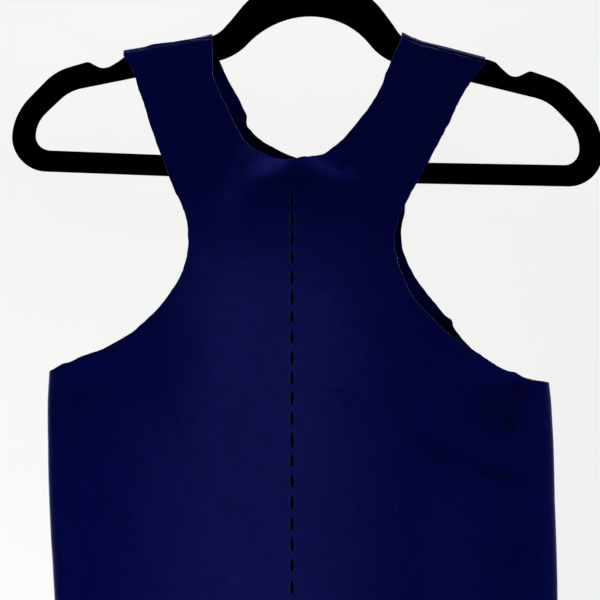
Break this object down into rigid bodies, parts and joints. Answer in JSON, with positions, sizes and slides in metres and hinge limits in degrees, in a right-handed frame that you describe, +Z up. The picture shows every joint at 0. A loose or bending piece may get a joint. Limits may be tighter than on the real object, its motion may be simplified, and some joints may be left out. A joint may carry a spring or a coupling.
{
  "type": "racerback tank top on a hanger",
  "caption": "Sleeveless racerback tank top with raw-cut neck, armholes and hem, hanging flat on a black flocked hanger with strap notches and a wire hook.",
  "frame": {"origin": "inner crest of the hanger's hook, where the rail carries it", "axes": "+Z up, +X to the right of someone who faces the front of the garment, front panel towards -Y, back panel towards +Y"},
  "size_m": [0.4445, 0.0284, 0.7371],
  "materials": {
    "navy_cloth": "matt double knit with a short soft nap",
    "black_flock": "deep black flocking on moulded plastic",
    "hook_steel": "bright plated wire"
  },
  "bodies": {
    "root": {"front_panel": "navy_cloth", "back_panel": "navy_cloth", "hanger_frame": "black_flock", "hanger_hook": "hook_steel"}
  },
  "joints": []
}
